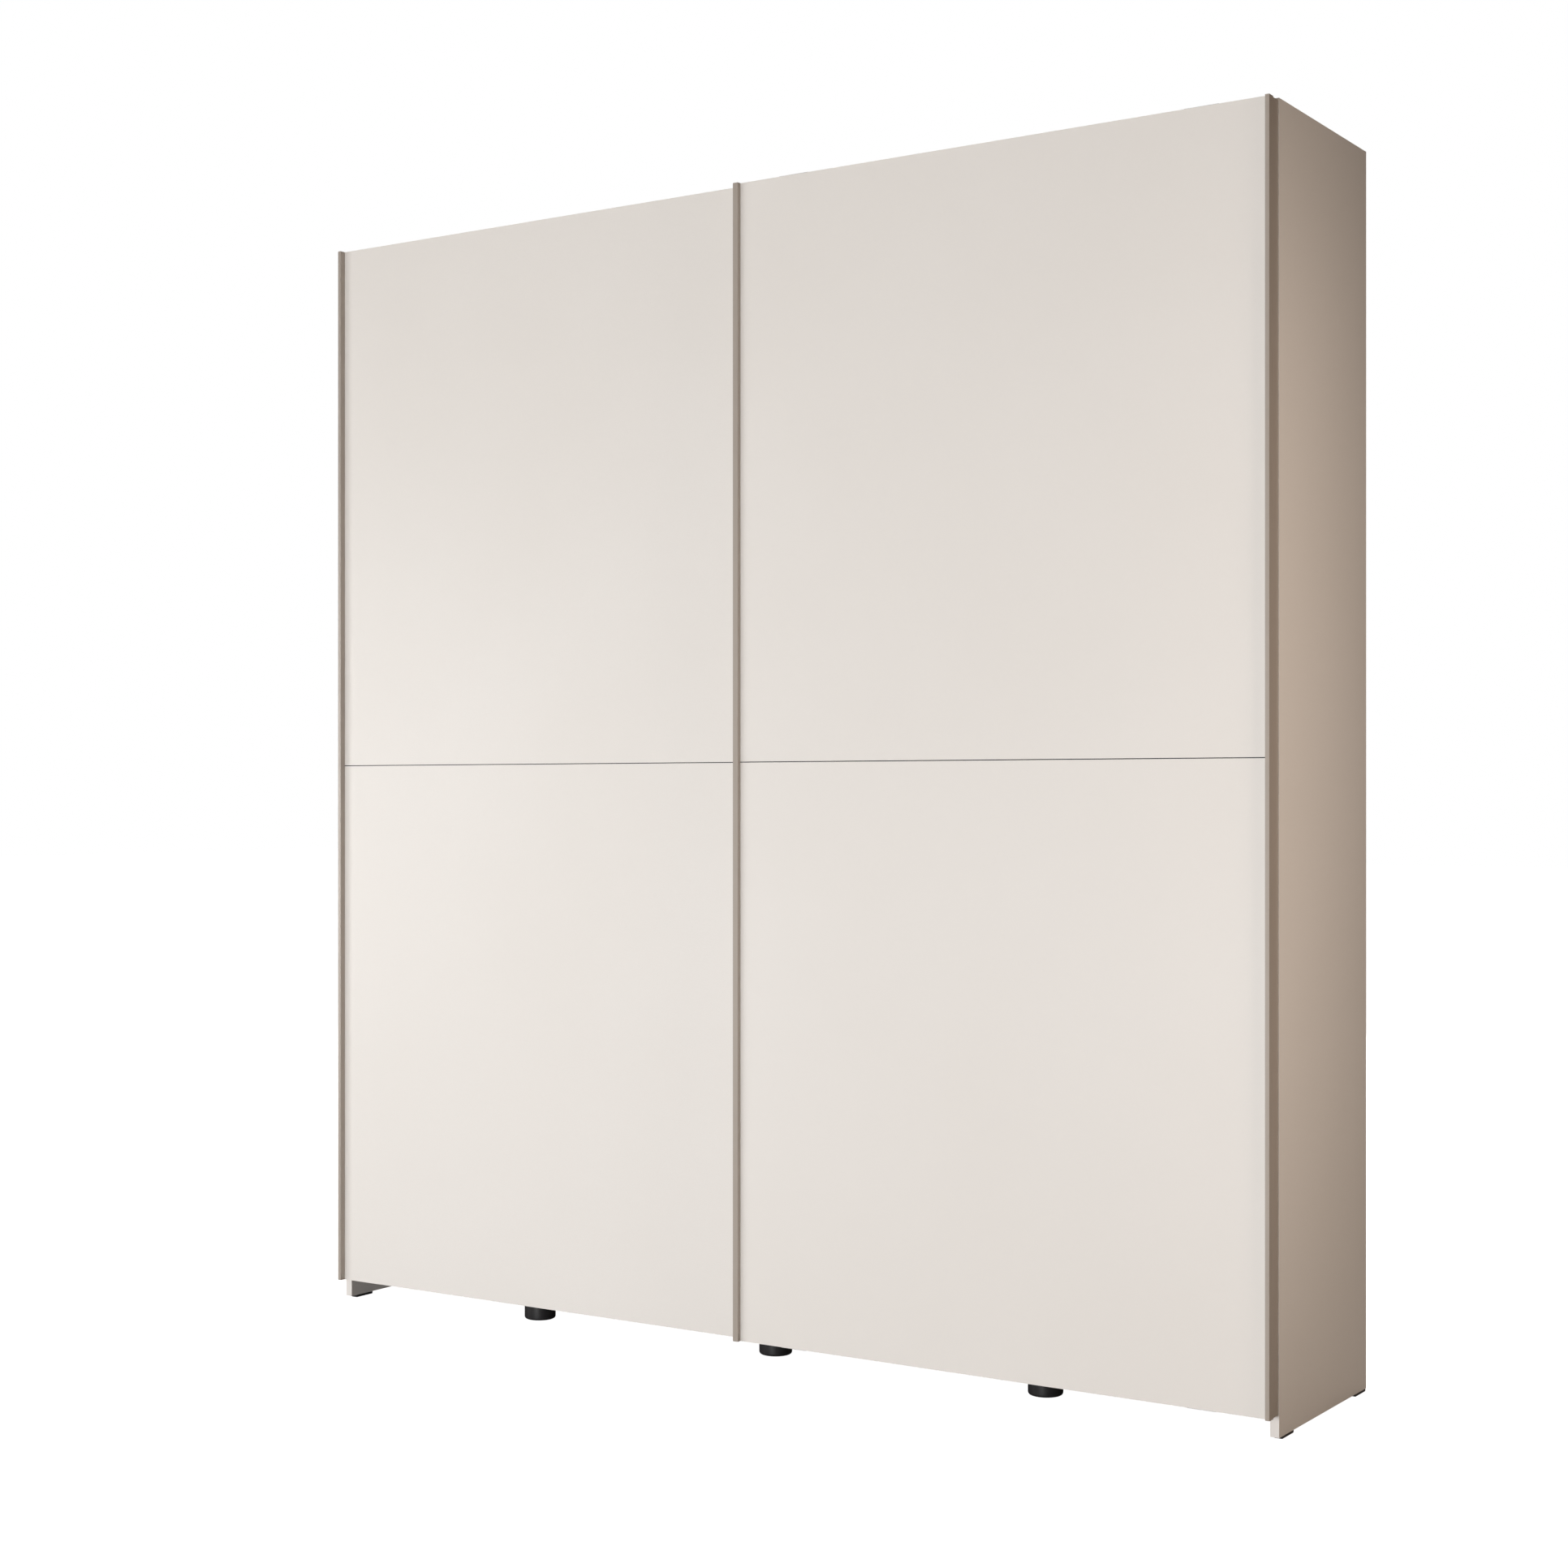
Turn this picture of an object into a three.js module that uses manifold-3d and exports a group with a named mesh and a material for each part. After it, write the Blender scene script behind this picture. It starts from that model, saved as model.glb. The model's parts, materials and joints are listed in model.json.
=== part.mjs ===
// Sliding door wardrobe with two hanging doors in two planes, the left door behind the right one.
// Millimetres, +Z up, front towards -Y. Origin on the floor at the centre of the footprint.
import * as THREE from 'three';
import { mergeVertices } from 'three/addons/utils/BufferGeometryUtils.js';
import Module from 'manifold-3d';

const wasm = await Module();
wasm.setup();

// Overall sizes
const WIDTH = 1990;
const HEIGHT = 2110;
const CARCASS_DEPTH = 388;

// Clearances
const FIT = 0.3; // between fixed pieces that touch
const SEAT = 0.2; // between a door leaf and what is clipped or screwed to it
const RUN = 0.15; // between a roller and its pin, and between a roller and its rail

// Boards
const BOARD = 15; // sides, top, base, partition and shelves
const BACK_BOARD = 3;
const BACK_INSET = 8; // rear edge of a side panel to the back board
const BACK_GROOVE = 6; // depth of the groove that holds the back board
const HEAD_SPACE = 58; // top panel to the top of the side panels, room for the running gear
const BASE_LIFT = 50; // floor to the underside of the base panel
const SETBACK = 8; // carcass front to the partition and shelves
const HAT_SPACE = 300; // clear height above the hat shelves
const SHELF_COUNT = 3; // loose shelves under the right hat shelf

// Back joint strip, an H section between the two back boards
const STRIP_WEB = 2;
const STRIP_FLANGE = 1;
const STRIP_WIDTH = 22;

// Doors
const LEAF = 7;
const OVERLAP = 38.5; // right door over left door
const DOOR_DROP = 3; // top of the side panels to the top of the doors
const DOOR_LIFT = 40; // floor to the bottom of the doors
const JOINT_GAP = 1.6; // open joint at mid height
const TONGUE = 2.4; // thickness of the strip in the joint
const TONGUE_HEIGHT = 14;
const PASS_GAP = 1.4; // back of the front leaf to the handle of the rear door
const REAR_GAP = 4.4; // back of the rear leaf to the carcass

// Door edge profiles
const WALL = 1.4;
const END_FACE = 7; // handle profiles at the two ends of the wardrobe
const CENTRE_FACE = 10.5; // handle profile at the middle of the wardrobe
const FRONT_REACH = 8.5; // how far the right door's profiles stand in front of its leaf
const REAR_REACH = 12; // how far the left door's handle profile stands in front of its leaf
const CAP_FACE = 10; // flat cap on the hidden edge of the rear door
const CAP_REACH = 1.4;
const LIP_LENGTH = 10;
const FRONT_LIP = 0.8;
const REAR_LIP = 1.5;

// Closing strip on the right side panel
const STRIP_THICK = 1.5;
const STRIP_INSET = 2.4; // outer face of the side panel to the strip
const STRIP_CLEAR = 0.7; // right handle profile to the strip

// Running gear
const SHEET = 1.5; // steel of the hangers and guide brackets
const HANGER_WIDTH = 60;
const HANGER_PLATE = 60; // height of the plate on the leaf
const HANGER_INSET = 120; // door edge to the middle of a hanger
const ARM_CLEAR = 0.5; // top of the rear door to the arms that pass over it
const REAR_ARM_DROP = 10.5; // top of the rear door to the underside of its own arms
const STOP_SHORT = 14; // end of the wardrobe to the edge of an open door
const ROLLER_WIDTH = 8;
const ROLLER_RADIUS = 14;
const RAIL_RADIUS = 11; // radius of the roller in its groove
const PIN_RADIUS = 3;
const PIN_HEAD_RADIUS = 4.5;
const PIN_HEAD = 1.2;
const SIDE_PLAY = 0.8; // roller to the hanger leg and to the pin head
const LEG_BELOW_PIN = 8;
const RAIL_WIDTH = 3;
const RAIL_HEIGHT = 5;
const TRACK_BASE = 2;
const TRACK_WALL_HEIGHT = 9;
const TRACK_START = 5; // carcass front to the track
const TRACK_MARGIN = 14; // track edge to the middle of the nearest lane
const LANE_PITCH = 34;
const STOP_LENGTH = 20;
const STOP_HEIGHT = 24;
const STOP_GAP = 0.5; // roller to its stop at the end of the travel

// Floor guide
const GUIDE_START = 2; // carcass front to the guide
const GUIDE_MARGIN = 8;
const GUIDE_PITCH = 16;
const GUIDE_HEIGHT = 6.5;
const GUIDE_ROOF = 1.5;
const GUIDE_SLOT = 6;
const BRACKET_WIDTH = 50;
const BRACKET_PLATE = 44;
const BRACKET_STEP = 0.8; // height between the two brackets where they cross
const SLIDER_LENGTH = 24;
const SLIDER_WIDTH = 5;

// Feet and glides
const FOOT_RADIUS = 30;
const FOOT_FILLET = 5;
const FOOT_INSET = 69; // carcass front or rear to the middle of a foot
const FOOT_SPACING = 549;
const GLIDE_HEIGHT = 5;
const GLIDE_LENGTH = 45;
const GLIDE_FRONT_INSET = 16;
const GLIDE_REAR_INSET = 3;
const GLIDE_BEVEL = 1.2;
const PEG_RADIUS = 3;
const PEG_HEIGHT = 12;

// Hanging rod, front to back in the left bay
const ROD_WIDTH = 15;
const ROD_HEIGHT = 30;
const ROD_WALL = 1.5;
const ROD_DROP = 45; // hat shelf to the middle of the rod
const ROD_INSET = 22; // shelf front or rear edge to the rod's end
const ROD_HOLDER = 12;
const ROD_HOLDER_WALL = 3;
const ROD_HOLDER_PLATE = 44;
const ROD_HOLDER_INSET = 14; // rod's end to its holder

const ROUND = 32;
const CORNER_STEPS = 6;

// Planes worked out from the sizes above
const half = WIDTH / 2;
const insideX = half - BOARD;
const depth = FRONT_REACH + LEAF + PASS_GAP + REAR_REACH + LEAF + REAR_GAP + CARCASS_DEPTH;
const frontLeaf = -depth / 2 + FRONT_REACH;
const rearLeaf = frontLeaf + LEAF + PASS_GAP + REAR_REACH;
const carcassFront = rearLeaf + LEAF + REAR_GAP;
const carcassRear = depth / 2;
const backRear = carcassRear - BACK_INSET;
const backFront = backRear - BACK_BOARD;
const doorTop = HEIGHT - DOOR_DROP;
const doorMiddle = (doorTop + DOOR_LIFT) / 2;
const doorWidth = (WIDTH + OVERLAP) / 2;
const travel = WIDTH - doorWidth - STOP_SHORT;
const topPanelTop = HEIGHT - HEAD_SPACE;
const topPanelUnder = topPanelTop - BOARD;
const baseTop = BASE_LIFT + BOARD;
const shelfFront = carcassFront + SETBACK;
const shelfRear = backFront - FIT - STRIP_FLANGE - FIT;
const hatTop = topPanelUnder - HAT_SPACE;
const hatUnder = hatTop - BOARD;
const railTop = topPanelTop + FIT + TRACK_BASE + RAIL_HEIGHT;
const pinZ = railTop + RUN + RAIL_RADIUS;
const rearLane = carcassFront + TRACK_START + TRACK_MARGIN; // lane of the rear, left door
const frontLane = rearLane + LANE_PITCH; // lane of the front, right door
const trackRear = frontLane + TRACK_MARGIN;
const rearSlot = carcassFront + GUIDE_START + GUIDE_MARGIN;
const frontSlot = rearSlot + GUIDE_PITCH;
const guideUnder = BASE_LIFT - FIT - GUIDE_HEIGHT;
const frontBracketZ = DOOR_LIFT - ARM_CLEAR - SHEET;
const rearBracketZ = frontBracketZ + SHEET + BRACKET_STEP;

const finish = (color, roughness, metalness) => ({ color, roughness, metalness });
const CREAM = finish(0xe9e2d6, 0.5, 0);
const CARCASS = finish(0xd9cdbf, 0.55, 0);
const BACK = finish(0xe4dccf, 0.7, 0);
const CHAMPAGNE = finish(0xa9998a, 0.38, 0.7);
const ALUMINIUM = finish(0xc4c6c8, 0.35, 0.9);
const STEEL = finish(0xa8abae, 0.4, 0.9);
const CHROME = finish(0xd6d8da, 0.15, 1);
const BLACK = finish(0x17161a, 0.45, 0);
const NYLON = finish(0xeeeeea, 0.5, 0);
const GREY_PLASTIC = finish(0x8d8f92, 0.55, 0);

const wardrobe = new THREE.Group();

function add(name, geometry, look) {
  const mesh = new THREE.Mesh(geometry, new THREE.MeshStandardMaterial(look));
  mesh.name = name;
  wardrobe.add(mesh);
}

// A box between two limits on each axis.
function block([x0, x1], [y0, y1], [z0, z1]) {
  const box = new THREE.BoxGeometry(x1 - x0, y1 - y0, z1 - z0);
  return box.translate((x0 + x1) / 2, (y0 + y1) / 2, (z0 + z1) / 2);
}

function outline(points) {
  return new THREE.Shape(points.map(([a, b]) => new THREE.Vector2(a, b)));
}

// A rectangle that turns the same way whichever way round its limits are given, as a hole must.
function rectangle(a, b) {
  const [a0, a1] = [Math.min(...a), Math.max(...a)];
  const [b0, b1] = [Math.min(...b), Math.max(...b)];
  return outline([[a0, b0], [a1, b0], [a1, b1], [a0, b1]]);
}

// A (y, z) section drawn out along X.
function alongX(shape, [x0, x1]) {
  const solidShape = new THREE.ExtrudeGeometry(shape, { depth: x1 - x0, bevelEnabled: false });
  const axes = new THREE.Matrix4().makeBasis(
    new THREE.Vector3(0, 1, 0), new THREE.Vector3(0, 0, 1), new THREE.Vector3(1, 0, 0));
  return solidShape.applyMatrix4(axes).translate(x0, 0, 0);
}

// An (x, z) section drawn out along Y.
function alongY(shape, [y0, y1]) {
  const settings = { depth: y1 - y0, bevelEnabled: false, curveSegments: CORNER_STEPS };
  return new THREE.ExtrudeGeometry(shape, settings).rotateX(Math.PI / 2).translate(0, y1, 0);
}

// An (x, y) section drawn out along Z.
function alongZ(shape, [z0, z1]) {
  const settings = { depth: z1 - z0, bevelEnabled: false };
  return new THREE.ExtrudeGeometry(shape, settings).translate(0, 0, z0);
}

function solidOf(geometry) {
  const bare = geometry.clone();
  bare.deleteAttribute('normal');
  bare.deleteAttribute('uv');
  const merged = mergeVertices(bare);
  return new wasm.Manifold(new wasm.Mesh({
    numProp: 3,
    vertProperties: merged.attributes.position.array,
    triVerts: Uint32Array.from(merged.index.array),
  }));
}

function geometryOf(solid) {
  const { vertProperties, triVerts } = solid.getMesh();
  const geometry = new THREE.BufferGeometry();
  geometry.setAttribute('position', new THREE.BufferAttribute(vertProperties, 3));
  geometry.setIndex(new THREE.BufferAttribute(triVerts, 1));
  geometry.computeVertexNormals();
  return geometry;
}

function cut(geometry, tools) {
  return geometryOf(tools.reduce((rest, tool) => rest.subtract(solidOf(tool)), solidOf(geometry)));
}

function join(pieces) {
  const [first, ...others] = pieces.map(solidOf);
  return geometryOf(others.reduce((whole, piece) => whole.add(piece), first));
}

// An upright cylinder.
function post(radius, [x, y], [z0, z1]) {
  return new THREE.CylinderGeometry(radius, radius, z1 - z0, ROUND)
    .rotateX(Math.PI / 2).translate(x, y, (z0 + z1) / 2);
}

// A cylinder along Y.
function pin(radius, [x, z], [y0, y1]) {
  return new THREE.CylinderGeometry(radius, radius, y1 - y0, ROUND).translate(x, (y0 + y1) / 2, z);
}

// Front and rear glide under a side panel: [low y, high y].
const glideSpans = {
  front: [carcassFront + GLIDE_FRONT_INSET, carcassFront + GLIDE_FRONT_INSET + GLIDE_LENGTH],
  rear: [carcassRear - GLIDE_REAR_INSET - GLIDE_LENGTH, carcassRear - GLIDE_REAR_INSET],
};

const middleOf = ([low, high]) => (low + high) / 2;

function sidePanel(name, side) {
  const outer = side * half;
  const inner = side * insideX;
  const faces = [Math.min(outer, inner), Math.max(outer, inner)];
  const groove = [inner - BACK_GROOVE, inner + BACK_GROOVE];
  const pegHoles = Object.values(glideSpans).map((span) => post(
    PEG_RADIUS + FIT, [middleOf(faces), middleOf(span)],
    [GLIDE_HEIGHT - FIT, GLIDE_HEIGHT + PEG_HEIGHT + FIT]));
  const slot = block(groove, [backFront - FIT, backRear + FIT], [BASE_LIFT - FIT, topPanelTop + FIT]);
  const board = block(faces, [carcassFront, carcassRear], [GLIDE_HEIGHT, HEIGHT]);
  add(name, cut(board, [slot, ...pegHoles]), CARCASS);
}

function glide(name, side, span) {
  const x = side * (half - BOARD / 2);
  const top = GLIDE_HEIGHT - FIT;
  const wide = BOARD / 2;
  const narrow = wide - GLIDE_BEVEL;
  const section = outline([
    [x - narrow, 0], [x + narrow, 0], [x + wide, GLIDE_BEVEL],
    [x + wide, top], [x - wide, top], [x - wide, GLIDE_BEVEL],
  ]);
  const peg = post(PEG_RADIUS, [x, middleOf(span)], [top / 2, GLIDE_HEIGHT + PEG_HEIGHT]);
  add(name, join([alongY(section, span), peg]), BLACK);
}

function foot(name, x, y) {
  const flat = FOOT_RADIUS - FOOT_FILLET;
  const points = [new THREE.Vector2(0, 0)];
  for (let step = 0; step <= CORNER_STEPS; step += 1) {
    const angle = (step / CORNER_STEPS) * (Math.PI / 2);
    points.push(new THREE.Vector2(
      flat + FOOT_FILLET * Math.sin(angle), FOOT_FILLET * (1 - Math.cos(angle))));
  }
  points.push(new THREE.Vector2(FOOT_RADIUS, BASE_LIFT - FIT), new THREE.Vector2(0, BASE_LIFT - FIT));
  const body = new THREE.LatheGeometry(points, ROUND).rotateX(Math.PI / 2).translate(x, y, 0);
  add(name, body, BLACK);
}

function backBoards() {
  const outer = insideX + BACK_GROOVE - FIT;
  const inner = STRIP_WEB / 2 + FIT;
  const span = [BASE_LIFT, topPanelTop];
  add('back_panel_left', block([-outer, -inner], [backFront, backRear], span), BACK);
  add('back_panel_right', block([inner, outer], [backFront, backRear], span), BACK);
  const wide = STRIP_WIDTH / 2;
  const web = STRIP_WEB / 2;
  const low = backFront - FIT;
  const high = backRear + FIT;
  add('back_joint_strip', alongZ(outline([
    [-wide, low - STRIP_FLANGE], [wide, low - STRIP_FLANGE], [wide, low], [web, low],
    [web, high], [wide, high], [wide, high + STRIP_FLANGE], [-wide, high + STRIP_FLANGE],
    [-wide, high], [-web, high], [-web, low], [-wide, low],
  ]), span), GREY_PLASTIC);
}

function carcass() {
  const between = [-insideX + FIT, insideX - FIT];
  const run = [carcassFront, shelfRear];
  sidePanel('side_panel_left', -1);
  sidePanel('side_panel_right', 1);
  add('top_panel', block(between, run, [topPanelUnder, topPanelTop]), CARCASS);
  add('base_panel', block(between, run, [BASE_LIFT, baseTop]), CARCASS);
  add('centre_partition', block(
    [-BOARD / 2, BOARD / 2], [shelfFront, shelfRear], [baseTop + FIT, topPanelUnder - FIT]), CARCASS);
  backBoards();
  for (const [side, sign] of [['left', -1], ['right', 1]]) {
    for (const [end, span] of Object.entries(glideSpans)) {
      glide(`glide_${side}_${end}`, sign, span);
    }
  }
  for (const [row, y] of [['front', carcassFront + FOOT_INSET], ['rear', carcassRear - FOOT_INSET]]) {
    foot(`foot_${row}_left`, -FOOT_SPACING, y);
    foot(`foot_${row}_middle`, 0, y);
    foot(`foot_${row}_right`, FOOT_SPACING, y);
  }
}

function shelf(name, sign, top) {
  const limits = [sign * (BOARD / 2 + FIT), sign * (insideX - FIT)].sort((a, b) => a - b);
  add(name, block(limits, [shelfFront, shelfRear], [top - BOARD, top]), CARCASS);
}

function shelves() {
  shelf('hat_shelf_left', -1, hatTop);
  shelf('hat_shelf_right', 1, hatTop);
  const pitch = (hatTop - baseTop) / (SHELF_COUNT + 1);
  for (let number = 1; number <= SHELF_COUNT; number += 1) {
    shelf(`shelf_${number}`, 1, baseTop + number * pitch);
  }
}

// An oval of two half circles joined by straight sides, standing upright.
function oval(path, x, z, width, height) {
  const radius = width / 2;
  const straight = height / 2 - radius;
  path.absarc(x, z + straight, radius, 0, Math.PI);
  path.absarc(x, z - straight, radius, Math.PI, Math.PI * 2);
  path.closePath();
  return path;
}

function hangingRod() {
  const x = -(insideX + BOARD / 2) / 2;
  const z = hatUnder - ROD_DROP;
  const ends = [shelfFront + ROD_INSET, shelfRear - ROD_INSET];
  const tube = oval(new THREE.Shape(), x, z, ROD_WIDTH, ROD_HEIGHT);
  tube.holes.push(oval(new THREE.Path(), x, z, ROD_WIDTH - 2 * ROD_WALL, ROD_HEIGHT - 2 * ROD_WALL));
  add('hanging_rod', alongY(tube, ends), CHROME);
  const gap = ROD_WIDTH / 2 + FIT;
  const wide = gap + ROD_HOLDER_WALL;
  const low = z - ROD_HEIGHT / 2 - FIT - ROD_HOLDER_WALL;
  const top = hatUnder - FIT;
  const plateUnder = top - ROD_HOLDER_WALL;
  const plate = ROD_HOLDER_PLATE / 2;
  const holder = outline([
    [x - wide, low], [x + wide, low], [x + wide, plateUnder], [x + plate, plateUnder],
    [x + plate, top], [x - plate, top], [x - plate, plateUnder], [x - wide, plateUnder],
  ]);
  holder.holes.push(oval(new THREE.Path(), x, z, ROD_WIDTH + 2 * FIT, ROD_HEIGHT + 2 * FIT));
  const front = ends[0] + ROD_HOLDER_INSET;
  const rear = ends[1] - ROD_HOLDER_INSET;
  add('rod_holder_front', alongY(holder, [front, front + ROD_HOLDER]), STEEL);
  add('rod_holder_rear', alongY(holder, [rear - ROD_HOLDER, rear]), STEEL);
}

// An angle: one flange on the front edge of the right side panel, the other reaching forward
// to the right handle profile, so that the closed door leaves no open slot.
function closingStrip() {
  const outer = half - STRIP_INSET;
  const flangeFront = carcassFront - FIT - STRIP_THICK;
  const tip = frontLeaf + LEAF + SEAT + FRONT_LIP + STRIP_CLEAR;
  add('closing_strip', alongZ(outline([
    [outer, tip], [outer, carcassFront - FIT], [insideX, carcassFront - FIT],
    [insideX, flangeFront], [outer - STRIP_THICK, flangeFront], [outer - STRIP_THICK, tip],
  ]), [DOOR_LIFT, doorTop]), CHAMPAGNE);
}

// Two rails on a base plate, with low walls at its edges and between the lanes.
function topTrack() {
  const low = topPanelTop + FIT;
  const floor = low + TRACK_BASE;
  const wallTop = low + TRACK_WALL_HEIGHT;
  const front = carcassFront + TRACK_START;
  const rail = RAIL_WIDTH / 2;
  const middle = (rearLane + frontLane) / 2;
  const section = [[front, low], [trackRear, low], [trackRear, wallTop], [trackRear - TRACK_BASE, wallTop],
    [trackRear - TRACK_BASE, floor]];
  for (const [y, top, wide] of [[frontLane, railTop, rail], [middle, wallTop, TRACK_BASE / 2],
    [rearLane, railTop, rail]]) {
    section.push([y + wide, floor], [y + wide, top], [y - wide, top], [y - wide, floor]);
  }
  section.push([front + TRACK_BASE, floor], [front + TRACK_BASE, wallTop], [front, wallTop]);
  add('top_track', alongX(outline(section), [-insideX + FIT, insideX - FIT]), ALUMINIUM);
}

// A block that straddles the rail of one lane, as wide as the roller that meets it.
function trackStop(name, lane, x0) {
  const floor = topPanelTop + FIT + TRACK_BASE + FIT;
  const wide = ROLLER_WIDTH / 2;
  const slot = RAIL_WIDTH / 2 + FIT;
  const roof = railTop + FIT;
  add(name, alongX(outline([
    [lane - wide, floor], [lane - slot, floor], [lane - slot, roof], [lane + slot, roof],
    [lane + slot, floor], [lane + wide, floor], [lane + wide, floor + STOP_HEIGHT],
    [lane - wide, floor + STOP_HEIGHT],
  ]), [x0, x0 + STOP_LENGTH]), GREY_PLASTIC);
}

// One bar with two slots open downwards, for the sliders of the two doors.
function floorGuide() {
  const roof = BASE_LIFT - FIT - GUIDE_ROOF;
  const front = carcassFront + GUIDE_START;
  const rear = frontSlot + GUIDE_MARGIN;
  const slot = GUIDE_SLOT / 2;
  const section = [[front, guideUnder]];
  for (const y of [rearSlot, frontSlot]) {
    section.push([y - slot, guideUnder], [y - slot, roof], [y + slot, roof], [y + slot, guideUnder]);
  }
  section.push([rear, guideUnder], [rear, BASE_LIFT - FIT], [front, BASE_LIFT - FIT]);
  add('floor_guide', alongX(outline(section), [-insideX + FIT, insideX - FIT]), ALUMINIUM);
}

// A profile clipped over a vertical edge of a leaf. inward is +1 on a left edge, -1 on a right one.
function edgeProfile(name, { edge, inward, leafFront, face, reach, lip }) {
  const x = (u) => edge + inward * u;
  const front = leafFront - reach;
  const pocketFront = leafFront - SEAT;
  const pocketRear = leafFront + LEAF + SEAT;
  const section = outline([
    [x(0), front], [x(face), front], [x(face), pocketFront], [x(WALL), pocketFront],
    [x(WALL), pocketRear], [x(LIP_LENGTH), pocketRear], [x(LIP_LENGTH), pocketRear + lip],
    [x(0), pocketRear + lip],
  ]);
  if (reach > 3 * WALL) {
    section.holes.push(rectangle([x(WALL), x(face - WALL)], [front + WALL, pocketFront - WALL]));
  }
  add(name, alongZ(section, [DOOR_LIFT, doorTop]), CHAMPAGNE);
}

// The two boards of a leaf and the tongue in the open joint between them.
function leafBoards(name, [x0, x1], leafFront, pockets) {
  const limits = [x0 + WALL + SEAT, x1 - WALL - SEAT];
  const faces = [leafFront, leafFront + LEAF];
  const middle = leafFront + LEAF / 2;
  const slotFaces = [middle - TONGUE / 2 - SEAT, middle + TONGUE / 2 + SEAT];
  const slot = [doorMiddle - TONGUE_HEIGHT / 2 - SEAT, doorMiddle + TONGUE_HEIGHT / 2 + SEAT];
  const long = [limits[0] - 1, limits[1] + 1];
  const tools = [block(long, slotFaces, slot), ...pockets];
  const upper = block(limits, faces, [doorMiddle + JOINT_GAP / 2, doorTop]);
  const lower = block(limits, faces, [DOOR_LIFT, doorMiddle - JOINT_GAP / 2]);
  add(`${name}_upper_board`, cut(upper, tools), CREAM);
  add(`${name}_lower_board`, cut(lower, tools), CREAM);
  const tongue = block(limits, [middle - TONGUE / 2, middle + TONGUE / 2],
    [doorMiddle - TONGUE_HEIGHT / 2, doorMiddle + TONGUE_HEIGHT / 2]);
  add(`${name}_joint_tongue`, tongue, BLACK);
}

// Bent steel: a plate on the leaf, an arm to the lane and a leg down beside the roller.
function hanger(name, x, plateFront, armZ, lane) {
  const plateLow = doorTop - HANGER_PLATE;
  const legFront = lane + ROLLER_WIDTH / 2 + SIDE_PLAY;
  const legRear = legFront + SHEET;
  const legLow = pinZ - LEG_BELOW_PIN;
  const sheet = alongX(outline([
    [plateFront, plateLow], [plateFront + SHEET, plateLow], [plateFront + SHEET, armZ],
    [legFront, armZ], [legFront, legLow], [legRear, legLow], [legRear, armZ + SHEET],
    [plateFront, armZ + SHEET],
  ]), [x - HANGER_WIDTH / 2, x + HANGER_WIDTH / 2]);
  const headRear = lane - ROLLER_WIDTH / 2 - SIDE_PLAY;
  const shaft = pin(PIN_RADIUS, [x, pinZ], [headRear - PIN_HEAD / 2, legFront + SHEET / 2]);
  const head = pin(PIN_HEAD_RADIUS, [x, pinZ], [headRear - PIN_HEAD, headRear]);
  add(name, join([sheet, shaft, head]), STEEL);
}

// A wheel with a groove that fits over the rail.
function roller(name, x, lane) {
  const bore = PIN_RADIUS + RUN;
  const wide = ROLLER_WIDTH / 2;
  const groove = RAIL_WIDTH / 2 + FIT;
  const points = [[bore, -wide], [ROLLER_RADIUS - 1, -wide], [ROLLER_RADIUS, -wide + 1],
    [ROLLER_RADIUS, -groove - 1], [RAIL_RADIUS, -groove], [RAIL_RADIUS, groove],
    [ROLLER_RADIUS, groove + 1], [ROLLER_RADIUS, wide - 1], [ROLLER_RADIUS - 1, wide],
    [bore, wide], [bore, -wide]].map(([r, y]) => new THREE.Vector2(r, y));
  add(name, new THREE.LatheGeometry(points, ROUND).translate(x, lane, pinZ), NYLON);
}

// An angle under the door and the slider that it carries in the floor guide.
function guideBracket(name, x, plateFront, z, slot) {
  const width = [x - BRACKET_WIDTH / 2, x + BRACKET_WIDTH / 2];
  const rear = slot + GUIDE_MARGIN - FIT;
  add(`${name}_bracket`, alongX(outline([
    [plateFront, z], [rear, z], [rear, z + SHEET], [plateFront + SHEET, z + SHEET],
    [plateFront + SHEET, DOOR_LIFT + BRACKET_PLATE], [plateFront, DOOR_LIFT + BRACKET_PLATE],
  ]), width), STEEL);
  const sides = [slot - SLIDER_WIDTH / 2, slot + SLIDER_WIDTH / 2];
  const roof = BASE_LIFT - FIT - GUIDE_ROOF - FIT;
  add(`${name}_slider`, block(
    [x - SLIDER_LENGTH / 2, x + SLIDER_LENGTH / 2], sides, [z + SHEET + FIT, roof]), NYLON);
}

// Pockets in the back of the front leaf, so that its hangers and brackets lie flush with it.
function flushPockets(places) {
  const back = frontLeaf + LEAF;
  const faces = [back - SHEET - SEAT, back + 1];
  return places.flatMap((x) => [
    block([x - HANGER_WIDTH / 2 - SEAT, x + HANGER_WIDTH / 2 + SEAT], faces,
      [doorTop - HANGER_PLATE - SEAT, doorTop + 1]),
    block([x - BRACKET_WIDTH / 2 - SEAT, x + BRACKET_WIDTH / 2 + SEAT], faces,
      [DOOR_LIFT - 1, DOOR_LIFT + BRACKET_PLATE + SEAT]),
  ]);
}

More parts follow.
